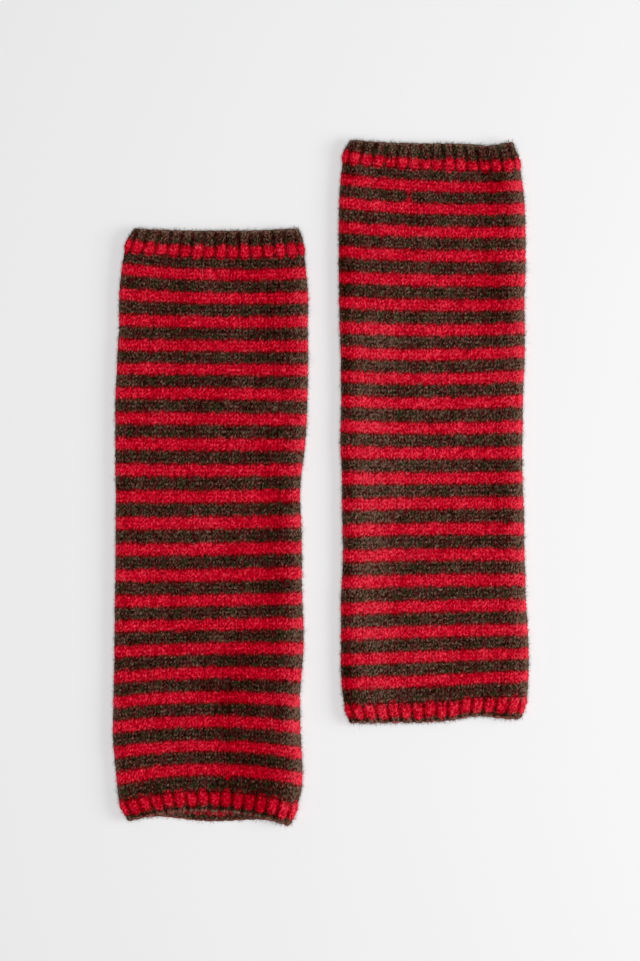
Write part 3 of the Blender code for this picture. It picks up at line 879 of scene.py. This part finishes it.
# Each fibre takes its own share of the length, thickness and lean, and its own shade
FIBRE_LENGTHS = (0.55, 1.35)
FIBRE_THICKNESSES = (0.6, 1.3)
FIBRE_LEANS = (0.75, 1.18)
FIBRE_SHADES = (-0.30, 0.34)

nap_sizes = {
    "Density": 560000.0,
    "Edge Density": 1.0,
    "Length": 0.0021,
    "Thickness": 0.00022,
    "Lean": 1.22,
    "Spread": 0.95,
    "Seed": 3,
}


def nap_tree(name, sizes, bent):
    """A tree that grows fibres on the outer face of a glove's tube and cuffs."""
    tree, group_in, group_out = geometry_tree(name, sizes)
    hosts = add_node(tree, "GeometryNodeJoinGeometry")
    for label in ("Tube", "Top Cuff", "Bottom Cuff"):
        tree.interface.new_socket(label, in_out="INPUT", socket_type="NodeSocketObject")
        source = add_node(tree, "GeometryNodeObjectInfo", {"Object": group_in.outputs[label]})
        tree.links.new(source.outputs["Geometry"], hosts.inputs[0])
    facing = tree.nodes.new("GeometryNodeInputNormal").outputs[0]
    up = add_node(tree, "ShaderNodeSeparateXYZ", {0: facing})
    outside = calc(tree, "GREATER_THAN", attribute_of(tree, "outer"), 0.2)
    seen = calc(tree, "MULTIPLY", outside, calc(tree, "GREATER_THAN", up.outputs["Z"], LOWEST_SEEN))
    sideways = ease(tree, up.outputs["Z"], SIDE_ENDS, TOP_STARTS, 1.0, 0.0)
    extra = calc(tree, "MULTIPLY", sideways, calc(tree, "SUBTRACT", group_in.outputs["Edge Density"], 1.0))
    denser = calc(tree, "MULTIPLY", group_in.outputs["Density"], calc(tree, "ADD", 1.0, extra))
    roots = add_node(tree, "GeometryNodeDistributePointsOnFaces", {
        "Mesh": hosts.outputs[0],
        "Selection": seen,
        "Density": denser,
        "Seed": group_in.outputs["Seed"],
    }, distribute_method="RANDOM")

    def chance(limits, seed):
        """A random number for each fibre, between two limits."""
        low, high = limits
        inputs = {"Seed": calc(tree, "ADD", group_in.outputs["Seed"], seed)}
        node = add_node(tree, "FunctionNodeRandomValue", inputs, data_type="FLOAT")
        for socket in node.inputs:
            if socket.type == "VALUE" and socket.name in ("Min", "Max"):
                socket.default_value = low if socket.name == "Min" else high
        return [socket for socket in node.outputs if socket.type == "VALUE"][0]

    if bent:
        arc = add_node(tree, "GeometryNodeCurveQuadraticBezier", {
            "Resolution": 3, "Start": (0.0, 0.0, -0.1), "Middle": (0.0, 0.0, 0.6), "End": (0.5, 0.15, 0.9),
        })
        factor = tree.nodes.new("GeometryNodeSplineParameter").outputs["Factor"]
        radius = calc(tree, "MULTIPLY", calc(tree, "SUBTRACT", 1.1, factor), group_in.outputs["Thickness"])
        section = add_node(tree, "GeometryNodeCurvePrimitiveCircle", {"Resolution": 3, "Radius": 0.5})
        shape = add_node(tree, "GeometryNodeCurveToMesh", {
            "Curve": arc.outputs[0], "Profile Curve": section.outputs[0],
            "Scale": radius, "Fill Caps": True,
        }).outputs[0]
    else:
        spindle = add_node(tree, "GeometryNodeMeshUVSphere", {"Segments": 3, "Rings": 2, "Radius": 0.5})
        shape = add_node(tree, "GeometryNodeTransform", {
            "Geometry": spindle.outputs[0], "Translation": (0.0, 0.0, 0.42),
        }).outputs[0]
    length = calc(tree, "MULTIPLY", group_in.outputs["Length"], chance(FIBRE_LENGTHS, 11))
    across = length
    if not bent:
        across = calc(tree, "MULTIPLY", group_in.outputs["Thickness"], chance(FIBRE_THICKNESSES, 12))
    size = add_node(tree, "ShaderNodeCombineXYZ", {0: across, 1: across, 2: length})
    lean = calc(tree, "MULTIPLY", group_in.outputs["Lean"], chance(FIBRE_LEANS, 13))
    turned = calc(tree, "MULTIPLY_ADD", chance((-1.0, 1.0), 14), group_in.outputs["Spread"], BRUSHED_TOWARDS)
    back = calc(tree, "GREATER_THAN", chance((0.0, 1.0), 16), 0.5)
    heading = calc(tree, "MULTIPLY_ADD", back, math.pi, turned)
    along_cloth = add_node(tree, "ShaderNodeCombineXYZ", {
        0: calc(tree, "COSINE", heading), 1: calc(tree, "SINE", heading), 2: 0.0,
    })
    lying = add_node(tree, "ShaderNodeVectorMath", {0: along_cloth.outputs[0]}, operation="SCALE")
    tree.links.new(calc(tree, "SINE", lean), lying.inputs["Scale"])
    standing = add_node(tree, "ShaderNodeVectorMath", {0: roots.outputs["Normal"]}, operation="SCALE")
    tree.links.new(calc(tree, "COSINE", lean), standing.inputs["Scale"])
    direction = add_node(tree, "ShaderNodeVectorMath", {
        0: lying.outputs[0], 1: standing.outputs[0],
    }, operation="ADD")
    rotation = add_node(tree, "FunctionNodeAlignRotationToVector", {
        "Vector": direction.outputs[0],
    }, axis="Z")
    fibres = add_node(tree, "GeometryNodeInstanceOnPoints", {
        "Points": roots.outputs["Points"], "Instance": shape,
        "Rotation": rotation.outputs[0], "Scale": size.outputs[0],
    })
    shaded = add_node(tree, "GeometryNodeStoreNamedAttribute", {
        "Geometry": fibres.outputs[0], "Name": "fibre_shade", "Value": chance(FIBRE_SHADES, 15),
    }, data_type="FLOAT", domain="INSTANCE")
    real = add_node(tree, "GeometryNodeRealizeInstances", {0: shaded.outputs[0]})
    painted = add_node(tree, "GeometryNodeSetMaterial", {
        "Geometry": real.outputs[0], "Material": group_in.outputs["Material"],
    })
    tree.links.new(painted.outputs[0], group_out.inputs["Geometry"])
    return tree


nap_wool, nap_nodes, nap_shader = new_material("nap_wool", roughness=0.8)
# The nap takes the painted light and shade of the cloth it grows on, and each fibre's own shade
nap_shade = calc(nap_nodes, "ADD", carried(nap_nodes, "shade"), carried(nap_nodes, "fibre_shade"))
striped_yarn(nap_nodes, nap_shader, nap_shade, border_blur=0.5)

short_nap = nap_tree("short_nap", nap_sizes, bent=False)

# Longer fibres that curl out of the nap. Their thickness is a share of their length.
curl_sizes = {
    "Density": 48000.0,
    "Edge Density": 6.0,
    "Length": 0.0034,
    "Thickness": 0.022,
    "Lean": 0.95,
    "Spread": 1.4,
    "Seed": 40,
}
long_fibres = nap_tree("long_fibres", curl_sizes, bent=True)

# Fine fuzz, grown from the same tree as the short nap, most of it along the folds
fuzz_sizes = {
    "Density": 20000.0,
    "Edge Density": 80.0,
    "Length": 0.0016,
    "Thickness": 0.00006,
    "Lean": 0.75,
    "Spread": 1.57,
    "Seed": 71,
}
for glove in GLOVES:
    for end_name, tree, sizes in (
        ("_short_nap", short_nap, nap_sizes),
        ("_edge_fuzz", short_nap, fuzz_sizes),
        ("_long_fibres", long_fibres, curl_sizes),
    ):
        nap = make_mesh(glove.name + end_name, np.zeros((1, 3)), [], {})
        run_tree(nap, tree, {
            **sizes,
            "Material": nap_wool,
            "Tube": tubes[glove.name],
            "Top Cuff": cuffs[glove.name + "_ribbed_top_cuff"],
            "Bottom Cuff": cuffs[glove.name + "_ribbed_bottom_cuff"],
        })
        rest_on_table(nap)
        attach(nap, "root")

# A few long pale guard hairs of the fleece, which lie loose on the nap. Each has its glove, the stripe
# line and place across where it starts, its length, its heading and how far it bends, in radians.
Hair = namedtuple("Hair", "glove line across length heading bend")
LEFT_GLOVE, RIGHT_GLOVE = GLOVES
GUARD_HAIRS = [
    Hair(RIGHT_GLOVE, 16.1, 0.90, 0.0065, 0.95, 0.5),
    Hair(RIGHT_GLOVE, 16.6, 0.93, 0.0060, 2.25, -0.6),
    Hair(RIGHT_GLOVE, 15.6, 0.96, 0.0045, 1.55, 0.4),
    Hair(RIGHT_GLOVE, 0.9, 0.62, 0.0060, 1.20, 0.7),
    Hair(RIGHT_GLOVE, 27.4, -0.30, 0.0060, 1.80, 0.8),
    Hair(RIGHT_GLOVE, 33.2, 0.48, 0.0055, 0.70, -0.7),
    Hair(LEFT_GLOVE, 1.5, -0.16, 0.0065, 2.30, 0.5),
    Hair(LEFT_GLOVE, 4.4, -0.15, 0.0105, 1.50, 0.35),
    Hair(LEFT_GLOVE, 7.0, -0.08, 0.0070, 1.25, -0.5),
    Hair(LEFT_GLOVE, 21.6, 0.35, 0.0060, 1.90, 0.8),
    Hair(LEFT_GLOVE, 30.3, -0.55, 0.0055, 0.90, -0.6),
    Hair(LEFT_GLOVE, 39.5, 0.80, 0.0060, 1.40, 0.6),
]
HAIR_THICKNESS = 0.00009
HAIR_TAPER = 0.7          # how much thinner its ends are than its middle
HAIR_ABOVE_CLOTH = 0.0010
HAIR_ARCH = 0.0006        # how far its middle stands above its ends
HAIR_STEPS = 9


def guard_hair(hair):
    """Points of one curved tapering hair with a three-sided section, and its faces."""
    glove = hair.glove
    left, right = lines_at(glove.lines, np.array([hair.line]))[1:3, 0]
    radius = FOLD_HEIGHT / 2
    run = right - left - FOLD_HEIGHT
    quarter = math.pi * radius / 2
    inward = (hair.across + 1.0) / 2 * (right - left) - radius
    place = (quarter + inward) / (2 * run + 4 * quarter)
    root = cloth_at(glove, np.array([hair.line]), np.array([place]), -HAIR_ABOVE_CLOTH)[0] + pair_shift
    spots, faces = [], []
    at = root.copy()
    for step in range(HAIR_STEPS + 1):
        part = step / HAIR_STEPS
        heading = hair.heading + hair.bend * (part - 0.5) * 2.0
        ahead = np.array([math.cos(heading), math.sin(heading), 0.0])
        aside = np.array([-ahead[1], ahead[0], 0.0])
        thick = HAIR_THICKNESS * (1.0 - HAIR_TAPER * abs(part * 2.0 - 1.0)) / 2
        at = at + ahead * hair.length / HAIR_STEPS
        at[2] = root[2] + HAIR_ARCH * math.sin(math.pi * part)
        for angle in (math.pi / 2, math.pi * 7 / 6, math.pi * 11 / 6):
            spots.append(at + aside * thick * math.cos(angle) + np.array([0.0, 0.0, thick * math.sin(angle)]))
    for step in range(HAIR_STEPS):
        for corner in range(3):
            beside = (corner + 1) % 3
            faces.append((step * 3 + corner, step * 3 + beside, step * 3 + 3 + beside, step * 3 + 3 + corner))
    faces += [(2, 1, 0), (HAIR_STEPS * 3, HAIR_STEPS * 3 + 1, HAIR_STEPS * 3 + 2)]
    return np.array(spots), faces


pale_wool, _, pale_shader = new_material("pale_guard_hair", roughness=0.6, specular=0.5)
pale_shader.inputs["Base Color"].default_value = yarn_colour(196, 172, 160)
hair_spots, hair_faces = [], []
for hair in GUARD_HAIRS:
    spots, faces = guard_hair(hair)
    first = sum(len(group) for group in hair_spots)
    hair_faces += [tuple(first + corner for corner in face) for face in faces]
    hair_spots.append(spots)
guard_hairs = make_mesh("guard_hairs", np.concatenate(hair_spots), hair_faces, {})
guard_hairs.data.materials.append(pale_wool)
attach(guard_hairs, "root")

# The table, light and camera
# The gloves lie on a pale matt table, seen from straight above. A large soft light hangs over them,
# and a smaller one stands low at the right, so the shadows lie left of each glove.

PIXEL = 0.000565          # the size of one pixel on the gloves
PICTURE_ROWS = 961
VIEW_HEIGHT = PICTURE_ROWS * PIXEL
VIEW_CENTRE = (0.0627, -0.1412)
CAMERA_HEIGHT = 1.6
SENSOR = 36.0
TABLE_HALF = 3.0
TABLE_BELOW = 0.0001      # the table lies this far under the gloves
TABLE_COLOUR = (0.80, 0.80, 0.805, 1.0)
ROOM_GLOW = 0.12          # light from all round
BACKDROP_GLOW = 0.82      # how bright the room itself looks

table_mesh = bpy.data.meshes.new("table_top")
table_mesh.from_pydata(
    [(-TABLE_HALF, -TABLE_HALF, 0.0), (TABLE_HALF, -TABLE_HALF, 0.0),
     (TABLE_HALF, TABLE_HALF, 0.0), (-TABLE_HALF, TABLE_HALF, 0.0)],
    [], [(0, 1, 2, 3)],
)
table_top = bpy.data.objects.new("table_top", table_mesh)
table_top.location = (0.0, 0.0, -TABLE_BELOW)
bpy.context.scene.collection.objects.link(table_top)
table_material, _, table_shader = new_material("pale_table", roughness=0.9, specular=0.1)
table_shader.inputs["Base Color"].default_value = TABLE_COLOUR
table_mesh.materials.append(table_material)

world = bpy.data.worlds.new("soft_room")
world.use_nodes = True
backdrop = world.node_tree.nodes["Background"].inputs
backdrop["Color"].default_value = (1.0, 1.0, 1.0, 1.0)
seen = world.node_tree.nodes.new("ShaderNodeLightPath").outputs["Is Camera Ray"]
glow = calc(world.node_tree, "MULTIPLY_ADD", seen, BACKDROP_GLOW - ROOM_GLOW, ROOM_GLOW)
world.node_tree.links.new(glow, backdrop["Strength"])
bpy.context.scene.world = world


def soft_light(name, place, size, power):
    """A square soft box that faces the gloves."""
    data = bpy.data.lights.new(name, "AREA")
    data.shape = "SQUARE"
    data.size = size
    data.energy = power
    light = bpy.data.objects.new(name, data)
    light.location = place
    away = np.array(place) / np.linalg.norm(place)
    light.rotation_euler = (math.acos(away[2]), 0.0, math.atan2(away[1], away[0]) + math.pi / 2)
    light.visible_camera = False
    bpy.context.scene.collection.objects.link(light)


soft_light("overhead_light", place=(0.0, 0.0, 3.0), size=1.6, power=71.6)
soft_light("window_light", place=(1.35, -0.1, 0.78), size=0.8, power=12.4)

camera_data = bpy.data.cameras.new("camera")
camera_data.sensor_width = SENSOR
camera_data.lens = SENSOR * (CAMERA_HEIGHT - MIDDLE_HEIGHT) / VIEW_HEIGHT
camera = bpy.data.objects.new("camera", camera_data)
camera.location = (VIEW_CENTRE[0] + pair_shift[0], VIEW_CENTRE[1] + pair_shift[1], CAMERA_HEIGHT)
bpy.context.scene.collection.objects.link(camera)
bpy.context.scene.camera = camera
bpy.context.scene.view_settings.view_transform = "Standard"
